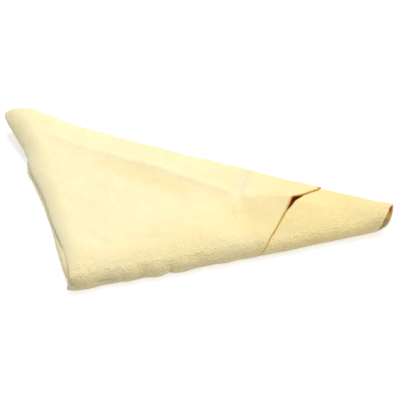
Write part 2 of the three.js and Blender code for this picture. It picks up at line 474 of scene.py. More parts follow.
def shut_in(tree, share):
    """The same share, but only where another ply lies close over the face."""
    near = add_node(tree, "ShaderNodeAmbientOcclusion", {"Distance": GAP})["AO"]
    return combine(tree, "MULTIPLY", share, stretch(tree, near, 0.75, 0.45))


print("a closed gap is under", mm(GAP), "mm")

# %% [markdown]
# ## Leather materials
# The outer faces are pale buff and dull, with a little sheen from the raised fibres. The inner face and the
# cut edge are deeper, partly as painted shade. On the inner face it stands for the warm shade inside the
# mouth and under the flap, and on the cut edge for the crevice under the raw edge. One function makes all
# four, and each reads its pattern from the skin's UV map.

# %% Materials
# Grey fluff of the cut margins. The same grey is painted shade in the wrinkle and on the facet.
FLUFF_AND_SHADE = ("fluff_and_shade", (0.74, 0.70, 0.57))
BRUSHED_BACK, WHITE = (0.955, 0.94, 0.89, 1), (1, 1, 1, 1)
NAP_HEIGHT = 1.5 * MM
SURFACE = {
    "Roughness": 0.95,
    "Specular IOR Level": 0.12,
    "Sheen Roughness": 0.55,
    "Sheen Tint": (1.0, 0.97, 0.90, 1),
    "Subsurface Radius": (0.9, 0.6, 0.3),
    "Subsurface Scale": 3 * MM,
}


def leather(name, golden, pale, sheen, bump, tones=(0.0, 1.0), tone_mark="tone_and_light", stains_and_shades=(FLUFF_AND_SHADE,),
            glow=None):
    """Napped leather between two colours, with stains, grey fluff, painted shade and a glow where marks of
    those names say so.
    """
    material = bpy.data.materials.new(name)
    material.use_nodes = True
    tree = material.node_tree
    surface = tree.nodes["Principled BSDF"].inputs
    set_inputs(surface, {**SURFACE, "Sheen Weight": sheen})
    skin = add_node(tree, "ShaderNodeUVMap", uv_map="skin")["UV"]
    pattern = add_node(tree, "ShaderNodeGroup", {"Skin": skin}, node_tree=nap)
    tone_and_light = stretch(tree, mark(tree, tone_mark), *tones, interpolation_type="SMOOTHSTEP")
    colour = mix(tree, tone_and_light, (*golden, 1), (*pale, 1))
    shade = mix(tree, pattern["Cloud"], BRUSHED_BACK, WHITE)
    colour = mix(tree, 1.0, colour, shade, "MULTIPLY")
    for title, overlay in stains_and_shades:
        share = mark(tree, title)
        # Painted gap shade: shown only where Ambient Occlusion finds another ply close over the face.
        if title == "hollow":
            share = shut_in(tree, share)
        colour = mix(tree, share, colour, (*overlay, 1))
    tree.links.new(colour, surface["Base Color"])
    if glow:
        tree.links.new(mark(tree, glow), surface["Subsurface Weight"])
    strength = combine(tree, "MULTIPLY", mark(tree, "grain"), bump)
    raised = {"Strength": strength, "Distance": NAP_HEIGHT, "Height": pattern["Height"]}
    tree.links.new(add_node(tree, "ShaderNodeBump", raised)["Normal"], surface["Normal"])
    return material


# The dark red in the closed gap under the flap's kink is painted shade, for light bounced between two
# plies.
OUTER = leather("chamois_nap", (0.925, 0.765, 0.375), (0.945, 0.845, 0.535), 0.4, 1.05,
                stains_and_shades=(("hollow", (0.70, 0.13, 0.01)), FLUFF_AND_SHADE))
# The inner face is deeper than the outer partly as painted shade, for the warm shade inside the mouth and
# under the flap.
INNER = leather("chamois_inner_face", (1.0, 0.72, 0.16), (0.99, 0.82, 0.44), 0.05, 0.8,
                tone_mark="tone_and_light_inside", stains_and_shades=(("painted_shade_inside", (0.5, 0.2, 0.02)),), glow="thin")
# The cut edge is golden, and darker than that as painted shade of the crevice under the flap's raw edge.
CUT = leather("chamois_cut_edge", (0.74, 0.46, 0.09), (0.88, 0.83, 0.68), 0.3, 0.8, (0.5, 0.8))
WORN = leather("chamois_worn_edge", (0.97, 0.86, 0.56), (0.88, 0.83, 0.68), 0.3, 0.8)
print("materials:", OUTER.name, INNER.name, CUT.name, WORN.name)

# %% [markdown]
# ## The wide end
# At the wide end the cut edge of the flap is a straight line from the far corner to the near fold, a
# little hollow in the middle. The underside has the same edge with its far corner rounded off, so it
# shows as a second band behind the flap.

# %% Edges of the wide end
FAR_END, NEAR_END, END_HOLLOW = 396 * MM, 307 * MM, 8 * MM
UNDER_LIMIT, UNDER_ROUND = 350 * MM, 5 * MM


def straight(start, start_angle, end, end_angle, angle):
    """Length along a ray to a straight edge between two points of the wedge."""
    a, b = np.sin(end_angle - angle) / start, np.sin(angle - start_angle) / end
    return math.sin(end_angle - start_angle) / (a + b)


def flap_end(share):
    """Wide end of the flap. share runs from the far line at 0 to the near line at 1."""
    edge = straight(FAR_END, HALF, NEAR_END, -HALF, HALF * (1 - 2 * share))
    return edge - END_HOLLOW * 4 * share * (1 - share)


def under_end(share):
    """Wide end of the underside, which keeps softly below a limit."""
    over = (flap_end(share) - UNDER_LIMIT) / UNDER_ROUND
    return flap_end(share) - UNDER_ROUND * np.log1p(np.exp(over))


def flap_margin(share):
    """Length and bend of the flap's margin: a wide soft droop, tighter where it meets the near fold."""
    places = [0, 0.1, 0.2, 0.35, 0.5, 0.75, 0.9, 1]
    bend = np.interp(share, places, [56, 54, 54, 54, 54, 54, 46, 30])
    return np.interp(share, places, [30, 28, 25, 21, 18, 17, 13, 10]) * MM, np.radians(bend)


def flap_reach(share):
    """How far the rolled margin of the flap comes out at the wide end."""
    places = [0, 0.02, 0.05, 0.1, 0.15, 0.2, 0.25, 0.3, 0.35,
              0.4, 0.46, 0.52, 0.58, 0.65, 0.75, 0.85, 0.95, 1]
    back = [7.2, 4.6, 4.4, 6.9, 9.2, 8.6, 5.7, 4.9, 5.3,
            5.4, 5.1, 4.0, 3.4, 3.5, 4.2, 5.3, 5.3, 5.0]
    return flap_end(share) - np.interp(share, places, back) * MM


def rolled_end(reach, length, bend):
    """Cut end of a strip whose rolled margin comes out to the given reach."""
    return reach + length - length / bend * np.sin(np.minimum(bend, math.pi / 2))


print("wide end:", mm(flap_end(np.array([0, 0.5, 1]))), "mm")

# %% [markdown]
# ## The crest
# The inner roll shows through the flap as a soft crest beside the far fold, from the kink of the raw edge
# to the wide end. A low bead along the top keeps it clear where it is rounded.

# %% Crest
HAIR = 1e-6
FACET_WIDTH = 40 * MM
BEAD_HEIGHT = 0.7 * MM


def bell(x, middle, width):
    """1 at the middle and less on both sides. The middle and the width are in mm."""
    return np.exp(-((x - middle * MM) / (width * MM)) ** 2)


def window(x, rise, fall):
    """1 between a rise and a fall. Each is given by its first and last place in mm."""
    return step(x, *rise) * (1 - step(x, *fall))


def crest_line(s):
    """Distance of the ridge from the far fold line."""
    places = [0, 97, 116, 126, 132, 138, 148, 163, 182, 202, 223, 247, 273, 292, 318, 332, 346, 390]
    away = [0, 28.5, 32.5, 36, 39, 38.5, 35, 33.5, 32, 30, 28.5, 28, 26, 25, 22, 18.5, 16, 10]
    return np.interp(s / MM, places, away) * MM


def sharp_crest(s, far):
    """The ridge. Near the raw edge its flank is a plane facet, further on it fades out in a curve."""
    places = [30, 60, 97, 126, 136, 148, 163, 182, 205, 223, 250, 275, 300, 320, 340, 365]
    heights = [0, 1.6, 7.2, 7.4, 5, 2.7, 2.4, 2.8, 4.6, 6, 5.4, 4.3, 3.5, 2.6, 1.3, 0]
    line = crest_line(s)
    climb = np.clip(far / np.maximum(line, HAIR), 0, 1)
    past = np.maximum(far - line, 0)
    room = np.maximum(2 * HALF * s - line, HAIR)
    facet = np.clip(1 - past / np.minimum(FACET_WIDTH, room), 0, 1) ** 1.8
    length = (11 + 8 * step(s, 185, 225)) * MM
    fade = np.exp(-past / length) * np.clip(1 - past / room, 0, 1)
    flank = facet + (fade - facet) * step(s, 126, 142)
    return np.interp(s / MM, places, heights) * MM * np.where(far < line, climb ** 2 * (2 - climb), flank)


def crest(s, far):
    """The same ridge, rounded over a few millimetres except where it meets the raw edge, and its bead."""
    spread = (0.8 + 1.7 * step(s, 128, 165)) * MM
    ridge = sum(sharp_crest(s, far + k * spread) for k in (-1.2, -0.6, 0, 0.6, 1.2)) / 5
    return ridge + BEAD_HEIGHT * bell(far - crest_line(s), 0, 3.5) * window(s, (140, 165), (300, 355))


print("crest at", mm(crest(np.array([110, 200, 300]) * MM, 32 * MM)), "mm")

# %% [markdown]
# ## Pressing the roll into shape
# Between the folds the roll sags, and its two sides are rounded. One map of space does all of this to every
# layer, in proportion to its height, so the layers never cut through each other.

# %% Sag and rounding
SAG = 3 * MM
NEAR_WIDTH, NEAR_RADIUS = 27 * MM, 9.4 * MM
FAR_WIDTH, FAR_RADIUS = 30 * MM, 9 * MM


def sag(s, far):
    across = 2 * far / (2 * HALF * np.maximum(s, HAIR)) - 1
    return SAG * np.maximum(1 - across ** 2, 0) ** 2 * step(s, 110, 300)


def rounding(s, near):
    """How far the upper side drops towards the near fold, from a width inside the fold line."""
    width = np.minimum(NEAR_WIDTH, 0.62 * s)
    depth = (6.5 - 1.2 * step(s, 90, 150)) * MM * step(s, 5, 40)
    return depth * np.clip(1 - (near + NEAR_RADIUS) / (width + NEAR_RADIUS), 0, 1) ** 2


def far_rounding(s, far):
    """The same towards the far fold. Below 0 the side stands up instead."""
    places = [20, 55, 70, 79, 110, 125, 135, 147, 165, 205, 240, 300, 350]
    depths = [0, -1.6, -1.2, 0, 1.9, 1.2, 0, -0.2, 1.2, 1.8, 0.5, 0.2, 0]
    return np.interp(s / MM, places, depths) * MM * np.clip(1 - (far + FAR_RADIUS) / FAR_WIDTH, 0, 1) ** 2


def unevenness(flat):
    return 0.6 * MM * hollows(flat, 55 * MM, 5) + 0.35 * MM * hollows(flat, 18 * MM, 8)


def polar(xy):
    """Distance from the tip, and the distances from the far and the near fold line along an arc."""
    away = xy - TIP
    s, angle = np.linalg.norm(away, axis=-1), np.arctan2(away[..., 1], -away[..., 0])
    return s, (HALF - angle) * s, (HALF + angle) * s


def settle(grid):
    """Height of every point of a sheet after the roll was pressed into shape."""
    s, far, near = polar(grid[..., :2])
    rise = crest(s, far) - sag(s, far) - rounding(s, near) - far_rounding(s, far)
    rise += 0.8 * unevenness(grid[..., :2])
    return grid[..., 2] * (1 + rise / FLAP_Z)


print("the near side drops by", mm(rounding(200 * MM, 0.0)), "mm")

# %% [markdown]
# ## Marks of handling on the flap
# The far corner of the flap stands off the roll. One short wrinkle, two ripples beside it, two creases and
# a few lumps lie where the leather was gripped.

# %% Flap relief
CORNER_LIFT = 9.2 * MM
GRIP_DEPTH = 2.6 * MM
RIPPLES = (
    ([(38, -10), (37, -20), (41, -32)], [0, 0.9, 0], 2.2),
    ([(41, -20), (47, -22.5), (54, -22)], [0, 0.7, 0], 2.4),
)
FLAP_LUMPS = (((90, -7.3), 10, 1.1), ((49, -14), 8, 0.6), ((38, -26), 7, -0.7), ((-60, 5), 34, 0.9))
CREASES = (((-90, -54), (-71, -67), 5, 0.8, 0.3), ((-60, -62), (-15, -58), 6, 0.8, 0.5))


def corner_lift(s, far):
    return CORNER_LIFT * step(s, 303, 388) * (1 - step(far, 0, 110))


def grip(xy):
    """The short wrinkle across the crest, -1 at its deepest."""
    points = [(48.4, 36), (46, 27), (43.6, 15), (42.1, 4.5), (44, -3), (44.5, -10)]
    return wrinkle(xy, points, [0.5, 0.9, 1, 0.9, 0.7, 0.2], 4.8) / MM


def flap_relief(u, s, flat):
    xy = TIP + s[..., None] * ray(-HALF + 2 * HALF * u)
    lift = corner_lift(s, 2 * HALF * (1 - u) * s) + GRIP_DEPTH * grip(xy)
    for shape, values in ((wrinkle, RIPPLES), (lump, FLAP_LUMPS), (crease, CREASES)):
        lift += sum(shape(xy, *one) for one in values)
    return lift


def lip_relief(u, s, flat):
    """The lifted corner runs on into the lip behind the far fold and fades half away."""
    return corner_lift(s, 0 * s) * (1 - 0.5 * u)


print("marks on the flap:", 1 + len(RIPPLES) + len(FLAP_LUMPS) + len(CREASES))

# %% [markdown]
# ## The near fold
# Along the near side the flap turns down to the table round a fat fold. The leather is pushed together on
# the inside of the bend, so this side is lumpy, with a clear tuck half way along and a weaker one beyond.

# %% Near fold relief
LUMPS_AT = [128, 135, 141, 152, 163, 173, 190, 195, 201, 207, 212, 216.5, 222, 228,
            233, 238, 244, 250, 255, 260, 265, 271, 276, 287, 292, 297, 303]
LUMPS = [-0.6, -1.7, -1.2, -1.8, -1.0, -2.1, -1.85, -1.5, -0.7, -0.8, -1.8, -2.4, -0.8, -1.1,
         -2.0, -3.1, -2.3, -1.9, -2.1, -2.9, -3.5, -4.0, -3.6, -2.0, -2.6, -3.1, -2.4]
TUCKS = ((213.5, 1.3), (257, 0.8))
TUCK_WIDTH = 1.6


def fold_relief(u, s, flat):
    """Swell and tucks of the near side, strongest half way round the fold."""
    belly = np.sin(math.pi * u) ** 0.8
    swell = 1.45 * sum(np.interp(s / MM + shift, LUMPS_AT, LUMPS) for shift in (-2, 0, 2)) / 3
    rough = 0.45 * hollows(flat, 11 * MM, 21) * step(s, 130, 190)
    tucks = sum(depth * bell(s, at, TUCK_WIDTH) for at, depth in TUCKS)
    return MM * belly * (swell + rough - tucks)


print("near side:", len(LUMPS), "lumps and", len(TUCKS), "tucks")

# %% [markdown]
# ## The raw edge
# Above the mouth the flap ends in a raw cut, straight from the far fold to a kink at the crest and straight
# on to the near fold. A strip asks for its edges as functions of `u`, which runs from 0 to 1 across it.

# %% Raw edge of the flap
# Distances from the tip in mm, and the distance of the kink from the far fold line.
EDGE_FAR, EDGE_KINK, EDGE_NEAR = 78, 97, 121.5
KINK_AWAY = 28.5


def raw_edge(u):
    """Cut edge of the flap above the mouth."""
    angle = -HALF + 2 * HALF * u
    kink = HALF - KINK_AWAY / EDGE_KINK
    low = straight(EDGE_NEAR * MM, -HALF, EDGE_KINK * MM, kink, np.minimum(angle, kink))
    high = (EDGE_KINK + (EDGE_FAR - EDGE_KINK) * (angle - kink) / (HALF - kink)) * MM
    return np.where(angle < kink, low, high)


def constant(value):
    return lambda u: value + 0 * u


def between(a, b):
    """A value that runs evenly from a to b across a strip."""
    return lambda u: a + (b - a) * u


def through(places, values):
    """A length in metres that runs through values in mm at the given places."""
    return lambda u: np.interp(u, places, values) * MM


def row_places(*runs):
    """Places of the rows, 0 to 1 along a strip and 1 to 2 round its margin, from runs of linspace."""
    return np.concatenate([np.linspace(*run)[min(k, 1):] for k, run in enumerate(runs)])


print("raw edge:", mm(raw_edge(np.array([0, 0.5, 1]))), "mm")

# %% [markdown]
# ## The flap's three strips
# The flap starts under the near fold, goes round it, crosses the top and ends in a lip behind the far fold.
# Rows are closer together near the raw edge, where the light is sharpest.

# %% Strips of the flap
FOLD_COLUMNS, FLAP_COLUMNS, LIP_COLUMNS = 28, 116, 12
corner_length, corner_bend = flap_margin(1.0)
corner_end = rolled_end(flap_reach(1.0), corner_length, corner_bend)
lip_length, lip_bend = flap_margin(0.0)
lip_end = rolled_end(flap_reach(0.0), lip_length, lip_bend)
near_strip = Strip(
    Fold(NEAR, UNDER_Z, FLAP_Z, -90, 90), np.linspace(0.006, 1, FOLD_COLUMNS), fold_relief,
    mouth=through([0, 0.22, 0.33, 0.5, 0.67, 0.83, 1], [136, 134, 134.2, 132.3, 129, 125.2, EDGE_NEAR]),
    wide=lambda u: corner_end + 3.0 * MM * (1 - smooth(u, 0.3, 0.85)),
    margin=constant(corner_length),
    curl=constant(corner_bend),
)
top_strip = Strip(
    Ply(FLAP_Z, 1, -HALF, HALF), np.linspace(0, 1, FLAP_COLUMNS), flap_relief,
    mouth=raw_edge,
    wide=lambda u: rolled_end(flap_reach(1 - u), *flap_margin(1 - u)),
    margin=lambda u: flap_margin(1 - u)[0],
    curl=lambda u: flap_margin(1 - u)[1],
)
lip_strip = Strip(
    Fold(FAR, UNDER_Z, CONE_Z, 90, 0, FLAP_Z - CONE_Z), np.linspace(0, 1, LIP_COLUMNS), lip_relief,
    mouth=constant(EDGE_FAR * MM),
    wide=between(lip_end, lip_end - 18 * MM),
    margin=constant(lip_length),
    curl=constant(lip_bend),
)
flap_rows = row_places((0, 0.25, 90), (0.25, 1, 96), (1, 2, 21))
flap_grid, flap_flat, flap_s = lay_out([near_strip, top_strip, lip_strip], flap_rows)
flap_grid[..., 2] = settle(flap_grid)
print("flap grid:", flap_grid.shape[:2])

# %% [markdown]
# ## Tone, fluff and painted light of the flap
# The flap is paler at the wide end. A paler line along the crest is a painted highlight. The deeper flank
# below it, a deeper spot on the facet and the deeper colour along the near side are painted shade, and a
# paler spot low on the right is painted light. The grain is coarse round the near fold. The wide margin has
# grey fluff, and the grey in the wrinkle and in a spot beside the raw edge is painted shade.

# %% Marks on the flap
# A paler spot right of the wrinkle, a deeper spot on the facet, which is painted shade, and a paler spot
# low on the right, which is painted light.
TONE_AND_LIGHT_SPOTS = (((53, 2), 9, 0.35), ((72, -18), 20, -0.36), ((43, -58), 17, 0.25))
# A grey spot on the facet beside the raw edge, as painted shade.
GREY_SHADE_SPOT = ((75, -16), 14, 0.17)
WORN_CORNER = 0.85
flap_xy = flap_grid[..., :2]
inland = (flap_xy - TIP) @ sideways(-HALF)
paler_end = 0.35 + 0.65 * step(flap_s, 60, 300)
# Deeper towards the near fold, as painted shade of the rounded near side.
paler_top = 0.55 + 0.45 * step(inland, 0, 70)
s, far, _ = polar(flap_xy)
past = far - crest_line(s)
# Painted shade in the flank below the crest, and a painted highlight along the crest itself.
flank = bell(past, 13, 11) * window(s, (170, 215), (285, 320))
ridge = bell(past, -1.5, 3.5) * window(s, (135, 160), (305, 355))
band = step(-past, 3, 9) * step(s, 180, 230)
flap_tone_and_light = paler_end * paler_top + 0.4 * ridge - 0.35 * flank - 0.2 * band
flap_tone_and_light += sum(lump(flap_xy, *spot) for spot in TONE_AND_LIGHT_SPOTS) / MM
calm = 0.45 * step(inland, 0, 14) * (1 - step(flap_s, 135, 190))
flap_grain = (1.3 - 0.95 * step(inland, 2, 30)) * (1 - calm)
last = len(flap_rows)
flap_fluff_and_shade = np.interp(np.arange(last), [last - 4, last - 2], [0, 0.45])
# Grey in the valley of the wrinkle is painted shade.
flap_fluff_and_shade = flap_fluff_and_shade - 0.6 * grip(flap_xy) * step(flap_grid[..., 1], 0, 18)
flap_fluff_and_shade += lump(flap_xy, *GREY_SHADE_SPOT) / MM
flap_fluff_and_shade[:FOLD_COLUMNS, -2:] = WORN_CORNER
flap_marks = {"tone_and_light": flap_tone_and_light, "tone_and_light_inside": 1 + 0 * flap_tone_and_light, "grain": flap_grain, "fluff_and_shade": flap_fluff_and_shade}
flap = thick_skin("chamois_flap", flap_grid, flap_flat, flap_marks, [OUTER, INNER, CUT], slant=1)

# %% [markdown]
# ## Relief of the inner roll
# The rest of the skin is one more sheet: the underside, the far fold, the front of the cone, its near fold
# and the innermost ply. Where the flap covers it, the front keeps a little lower.

# %% Roll relief
DIP_DEPTH, TOUCH_HEIGHT = 5 * MM, 0.3 * MM
# Just beyond the raw edge, in mm from the tip: at the far fold, and how much more at the kink.
TOUCH_FROM, TOUCH_RISE = 79, 19


def covered(s):
    return 1.4 * MM * step(s, 128, 165)


def dip(xy):
    """1 where the front falls away under the kink, behind a line between two points of the raw edge."""
    along, left = from_line(xy, (101, 2.5), (87, -20))
    reach = smooth(along, -0.15, 0.25) * (1 - smooth(along, 0.65, 1.03))
    return reach * smooth(-left, 0, 3.5) * (1 - smooth(-left, 12, 30))


def cone_relief(u, s, flat):
    xy = TIP + s[..., None] * ray(HALF - 2 * HALF * u)
    share = 2 * HALF * u * EDGE_KINK / KINK_AWAY + 0 * s
    touch = bell(s, TOUCH_FROM + TOUCH_RISE * share, 5) * (1 - smooth(share, 0.5, 0.85))
    return 2.2 * MM * grip(xy) - DIP_DEPTH * dip(xy) - covered(s) + TOUCH_HEIGHT * touch


def cone_fold_relief(u, s, flat):
    hidden = step(s, 126, 150)
    swell = np.interp(s / MM, [20, 40, 60, 85, 105], [0, -1.1, -1.6, -0.9, 0])
    swell = swell + 0.3 * hollows(flat, 13 * MM, 33)
    return MM * np.sin(math.pi * u) * (swell * (1 - hidden) - 4.5 * hidden) - covered(s)


def far_relief(u, s, flat):
    return 0.4 * unevenness(flat) * np.sin(math.pi * u) - u ** 2 * covered(s)


def level(u, s, flat):
    return 0 * s


print("covered front keeps", mm(covered(200 * MM)), "mm lower")

# %% [markdown]
# ## Margin of the underside
# At the wide end the margin of the underside is rolled up almost into a half circle. Its radius just fills
# the room under the flap's edge, so it changes from place to place.

# %% Rolled margin
UNDER_BEND = math.radians(170)


def under_reach(share):
    """How far the rolled margin comes out at the wide end."""
    places = [0.26, 0.3, 0.46, 0.54, 0.6, 0.66, 0.72, 0.82, 0.9, 0.95, 1]
    back = [1.2, 3.5, 3.3, 2, 2.1, 1.4, 0.6, 0.6, 1.3, 2.6, 3]
    return under_end(share) - np.interp(share, places, back) * MM


def under_margin(share):
    """Length of the rolled margin, from its radius."""
    places = [0.2, 0.25, 0.4, 0.5, 0.6, 0.65, 0.7, 0.75, 0.8, 0.85, 0.9, 0.95, 1]
    radius = np.interp(share, places, [4, 4.2, 4.35, 4.7, 5.1, 4.7, 4.2, 4.8, 5.7, 5.9, 6.3, 6.9, 7.3])
    return radius * MM * UNDER_BEND


far_length = under_margin(0.0)
under_far_end = rolled_end(under_reach(0.0), far_length, UNDER_BEND)
print("rolled margin:", mm(under_margin(np.array([0, 0.5, 1]))), "mm long")

# %% [markdown]
# ## The roll's five strips
# The strips follow each other in the order in which the skin is rolled up. The inner ones stop short of the
# wide end, because only two layers show there.

# %% Strips of the roll
UNDER_COLUMNS, FAR_COLUMNS, CONE_COLUMNS, NEAR_COLUMNS, INNER_COLUMNS = 44, 26, 90, 24, 30
CURLED_ROWS = 16
INNER_SHORT = math.radians(10)
inner_share = 1 - INNER_SHORT / (2 * HALF)
PLAIN = {"margin": constant(far_length), "curl": constant(0.0)}
under_columns = np.linspace(0.03, 1, UNDER_COLUMNS) ** 1.5
under_strip = Strip(
    Ply(UNDER_Z, -1, -HALF, HALF), under_columns, level,
    mouth=through([0, 0.03, 0.06, 0.1, 0.25, 0.5, 1], [24.5, 22, 20, 18, 13.8, 11.1, 10.1]),
    wide=lambda u: rolled_end(under_reach(1 - u), under_margin(1 - u), UNDER_BEND),
    margin=lambda u: under_margin(1 - u),
    curl=constant(UNDER_BEND),
)
far_strip = Strip(
    Fold(FAR, UNDER_Z, CONE_Z, -90, 90), np.linspace(0, 1, FAR_COLUMNS), far_relief,
    mouth=through([0, 0.3, 0.6, 1], [10.1, 9.6, 9.4, 9.6]),
    wide=between(under_far_end, flap_end(0.0) - 41 * MM),
    margin=constant(far_length),
    curl=lambda u: UNDER_BEND * smooth(1 - u, 0.4, 1),
)
front_strip = Strip(
    Ply(CONE_Z, 1, HALF, -HALF), np.linspace(0, 1, CONE_COLUMNS), cone_relief,
    mouth=between(9.6 * MM, 12 * MM),
    wide=lambda u: flap_end(u) - (41 - 20 * u) * MM,
    **PLAIN,
)
turn_strip = Strip(
    Fold(NEAR, INNER_Z, CONE_Z, 90, -90), np.linspace(0, 1, NEAR_COLUMNS), cone_fold_relief,
    mouth=through([0, 0.17, 0.33, 0.5, 0.67, 1], [12, 15.8, 19.6, 23, 26, 28]),
    wide=constant(286 * MM),
    **PLAIN,
)
inner_strip = Strip(
    Ply(INNER_Z, -1, -HALF, HALF - INNER_SHORT), np.linspace(0, 1, INNER_COLUMNS), level,
    mouth=between(28 * MM, 19 * MM),
    wide=lambda u: under_end(1 - u * inner_share) - 21 * MM,
    **PLAIN,
)
roll_rows = row_places((0, 0.2, 30), (0.2, 0.4, 80), (0.4, 1, 60), (1, 2, CURLED_ROWS + 1))
roll_strips = [under_strip, far_strip, front_strip, turn_strip, inner_strip]
roll_grid, roll_flat, roll_s = lay_out(roll_strips, roll_rows)
print("roll grid:", roll_grid.shape[:2])

# %% [markdown]
# ## Fitting the roll
# The rolled margin is tucked into the hollow of the near fold, the mouth is opened a little, and the lower
# lip of the mouth is drawn forward.

# %% Fit the roll
NEAR_HOLLOW, NEAR_MIDDLE = 8.6 * MM, 10 * MM
LIP_FORWARD, LIP_UP = 3.8 * MM, 1.2 * MM
curl = roll_grid[:UNDER_COLUMNS, -CURLED_ROWS:]
room = np.sqrt(np.maximum(NEAR_HOLLOW ** 2 - (curl[..., 2] - NEAR_MIDDLE) ** 2, 0))
tucked = 0.3 * room * (1 - smooth(under_columns, 0, 0.1))[:, None]
curl[..., :2] -= tucked[..., None] * sideways(-HALF)
roll_grid[..., 2] = settle(roll_grid)
open_mouth = 1 - step(roll_s, 5, 62)
roll_grid[..., 2] += open_mouth * (1.5 * MM + 0.13 * roll_grid[..., 2])
low_lip = (1 - under_columns[:, None]) ** 3 * (1 - step(roll_s[:UNDER_COLUMNS], 14, 42))
roll_grid[:UNDER_COLUMNS, :, 1] -= LIP_FORWARD * low_lip
roll_grid[:UNDER_COLUMNS, :, 2] += LIP_UP * low_lip ** 2
print("mouth opens to", mm(roll_grid[:, 0, 2].max()), "mm")

# %% [markdown]
# ## Tone and painted shade of the roll
# The dip under the kink gets a painted dark red shade. The upper part of the mouth's inside gets painted
# shade from the mouth's top rim, and its lower inside gets painted light. Light comes through the far wall,
# so its inside glows. Each strip shares its first column with the strip before.

# %% Marks on the roll
GAP_SHADE_SHIFT = np.array([3, 2.6]) * MM
WORN_MOUTH = 0.15
cone_start = UNDER_COLUMNS + FAR_COLUMNS - 1
inner_start = cone_start + CONE_COLUMNS - 1 + NEAR_COLUMNS - 1
roll_xy, roll_z = roll_grid[..., :2], roll_grid[..., 2]
# Painted dark red shade in the gap under the kink, on the front of the cone.
overlay = np.maximum(dip(roll_xy), dip(roll_xy - GAP_SHADE_SHIFT)) * step(roll_z, 10, 14)
# Painted shade of the mouth's top rim, high on the inside of the mouth.
high = roll_z + 0.8 * (roll_grid[..., 1] - TIP[1])
upper_mouth_shade = 0.8 * step(high, 12, 20) * (1 - step(roll_s, 40, 120))
# Painted light low on the inside of the mouth, where the inner tone turns paler.
painted_light_low_inside = (1 - step(high, 7, 17)) * (1 - step(roll_s, 40, 80))
# Golden towards the mouth and pale towards the wide end. It is deeper again at the rolled margin of the
# wide end, as painted shade under the flap's edge.
roll_tone_and_shade = step(roll_s, 50, 255) * (1 - 0.4 * step(roll_s, 265, 300))
roll_grain = 1.35 - 0.75 * step((roll_xy - TIP) @ sideways(-HALF), 0, 22)
wall = slice(UNDER_COLUMNS, cone_start)
thin = upper_mouth_shade.copy()
thin[wall] = smooth(np.linspace(0, 1, FAR_COLUMNS - 1), 0.03, 0.22)[:, None]
thin[wall] *= 1 - step(roll_s[wall], 40, 120)
roll_worn = np.zeros(roll_tone_and_shade.shape)
roll_worn[cone_start + 1:inner_start, 0] = WORN_MOUTH
roll_marks = {"tone_and_light": roll_tone_and_shade, "tone_and_light_inside": roll_tone_and_shade + painted_light_low_inside, "grain": roll_grain,
              "hollow": overlay, "painted_shade_inside": upper_mouth_shade, "thin": thin, "fluff_and_shade": roll_worn}
roll = thick_skin("chamois_roll", roll_grid, roll_flat, roll_marks, [INNER, OUTER, WORN])

# %% [markdown]
# ## Fuzz on the cut edges
# A cut edge of chamois sheds short fibres, and Geometry Nodes can space them along a line. Each line keeps
# the direction out of the sheet, so that the fibres know which way to stand.


# %% Lines along the cut edges
def edge_line(name, grid, count):
    """A line through the first places on the border of a grid."""
    places = tuple(part[:count] for part in rim_loop(*grid.shape[:2]))
    mesh = bpy.data.meshes.new(name)
    mesh.from_pydata(grid[places].tolist(), [(k, k + 1) for k in range(count - 1)], [])
    lean = mesh.attributes.new("lean", "FLOAT_VECTOR", "POINT")
    lean.data.foreach_set("vector", border_outward(grid)[places].astype(np.float32).reshape(-1))
    return put(name, mesh)


# A border starts along the mouth. The line of the flap goes on along its lip.
flap_line = edge_line("flap_edge_fuzz", flap_grid, sum(flap_grid.shape[:2]) - 1)
mouth_line = edge_line("mouth_edge_fuzz", roll_grid, len(roll_grid))
print("edge lines:", len(flap_line.data.vertices), "and", len(mouth_line.data.vertices), "points")

# %% [markdown]
# ## The fuzz tree
# The tree spaces points along the line, and a small bent fibre stands on each with a random lean and size.
# Its inputs have names and a fixed seed. Realize Instances turns the copies into one plain mesh.

# %% Fuzz tree
STRAY, SHORTEST, FIBRE_RADIUS = 0.9, 0.45, 0.05
fuzz = bpy.data.node_groups.new("fuzz along a cut edge", "GeometryNodeTree")
fuzz.interface.new_socket("Geometry", in_out="INPUT", socket_type="NodeSocketGeometry")
for title, kind, value in (
    ("Spacing", "NodeSocketFloat", 0.7 * MM),
    ("Fibre Length", "NodeSocketFloat", 1.1 * MM),
    ("Seed", "NodeSocketInt", 4),
    ("Material", "NodeSocketMaterial", CUT),
):
    fuzz.interface.new_socket(title, in_out="INPUT", socket_type=kind).default_value = value
fuzz.interface.new_socket("Geometry", in_out="OUTPUT", socket_type="NodeSocketGeometry")
given = add_node(fuzz, "NodeGroupInput")
line = add_node(fuzz, "GeometryNodeMeshToCurve", {"Mesh": given["Geometry"]})
steps = {"Curve": line["Curve"], "Length": given["Spacing"]}
spaced = add_node(fuzz, "GeometryNodeResampleCurve", steps, mode="LENGTH")
bow = {"Resolution": 3, "Start": (0, 0, 0), "Middle": (0.1, 0, 0.6), "End": (0.5, 0, 1)}
fibre = add_node(fuzz, "GeometryNodeCurveQuadraticBezier", bow)
ring = add_node(fuzz, "GeometryNodeCurvePrimitiveCircle", {"Resolution": 3, "Radius": FIBRE_RADIUS})
sweep = {"Curve": fibre["Curve"], "Profile Curve": ring["Curve"], "Fill Caps": True}
tube = add_node(fuzz, "GeometryNodeCurveToMesh", sweep)
lean = add_node(fuzz, "GeometryNodeInputNamedAttribute", {"Name": "lean"}, data_type="FLOAT_VECTOR")
limits = {0: [-STRAY] * 3, 1: [STRAY] * 3, "Seed": given["Seed"]}
stray = add_node(fuzz, "FunctionNodeRandomValue", limits, data_type="FLOAT_VECTOR")
aim = add_node(fuzz, "ShaderNodeVectorMath", {0: lean["Attribute"], 1: stray["Value"]})
turned = add_node(fuzz, "FunctionNodeAlignRotationToVector", {"Vector": aim["Vector"]}, axis="Z")
